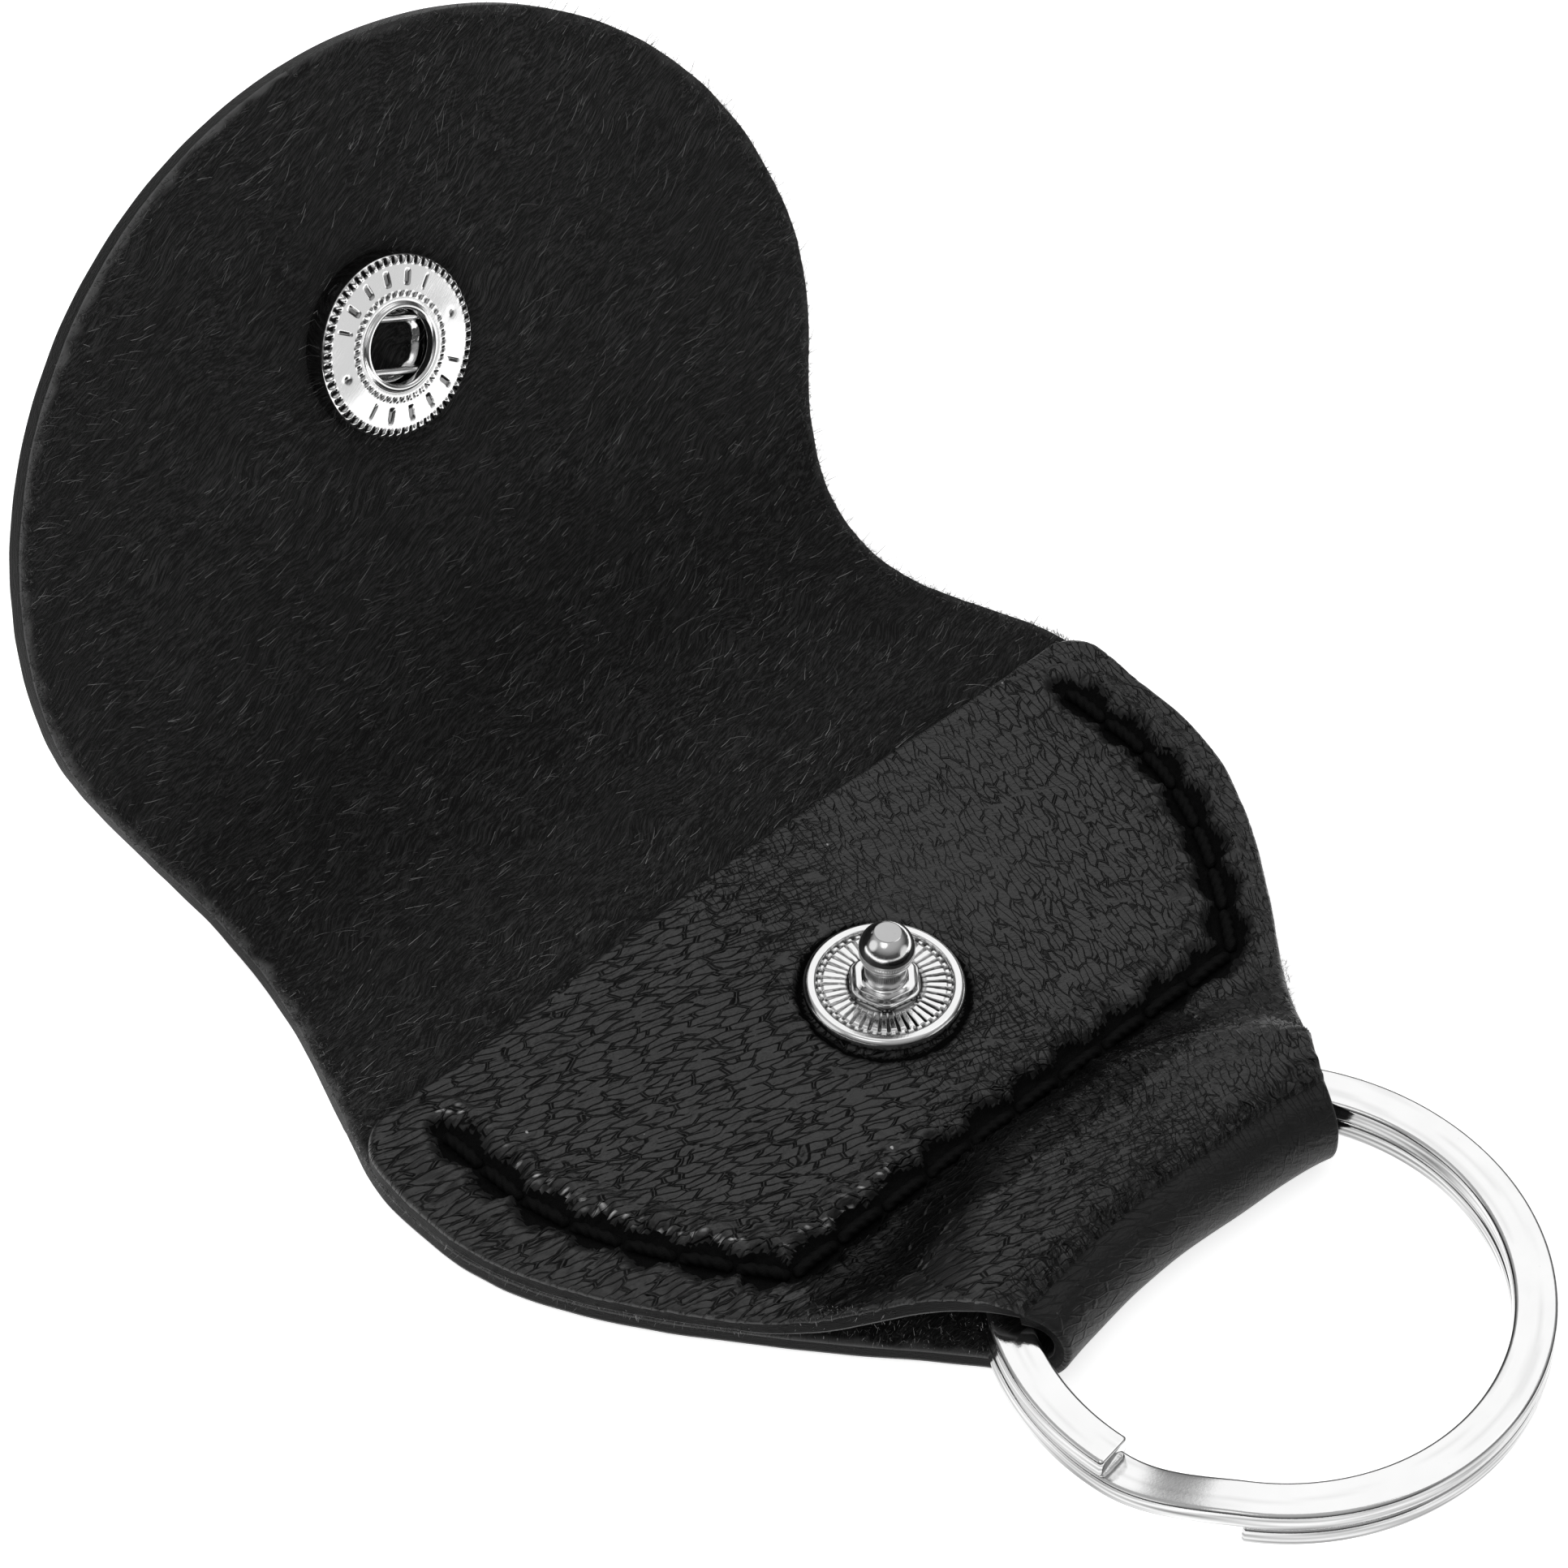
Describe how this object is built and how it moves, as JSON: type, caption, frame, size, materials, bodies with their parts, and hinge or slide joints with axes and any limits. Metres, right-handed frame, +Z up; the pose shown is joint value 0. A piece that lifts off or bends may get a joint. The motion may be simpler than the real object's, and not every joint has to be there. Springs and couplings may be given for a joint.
{
  "type": "guitar pick case",
  "caption": "Small leather pocket for guitar picks, with a snap-closed flap and a split key ring held in a leather loop.",
  "frame": {"origin": "on the flat back face of the pocket, on the axis of the snap stud", "axes": "+Z up out of the pocket's front along the stud, +Y along the leather strip towards the flap, +X to the right"},
  "size_m": [0.0554, 0.0926, 0.0376],
  "materials": {
    "leather": "black creased grain outside, brushed black flesh side inside",
    "thread": "black twisted thread",
    "snap_plate": "nickel plated pressed sheet",
    "spring_wire": "bright drawn wire",
    "ring_steel": "polished plated steel"
  },
  "bodies": {
    "pouch": {"back_panel": "leather", "pocket_front": "leather", "ring_loop": "leather", "flap_bend": "leather", "needle_thread": "thread", "bobbin_thread": "thread", "snap_stud": "snap_plate", "stud_eyelet": "snap_plate"},
    "flap": {"flap": "leather", "snap_socket": "snap_plate", "socket_spring": "spring_wire", "snap_cap": "snap_plate"},
    "ring": {"split_ring": "ring_steel"}
  },
  "joints": [
    {"name": "flap_hinge", "type": "hinge", "parent": "pouch", "child": "flap", "pos_m": [0, 0.02522, 0.00204], "axis": [1, 0, 0], "range_deg": [-40, 117.4], "deforming": ["flap_bend"]},
    {"name": "ring_turn", "type": "hinge", "parent": "pouch", "child": "ring", "pos_m": [0.0002, -0.02883, 0.00249], "axis": [0, -0.0262, 0.9997], "continuous": true}
  ]
}
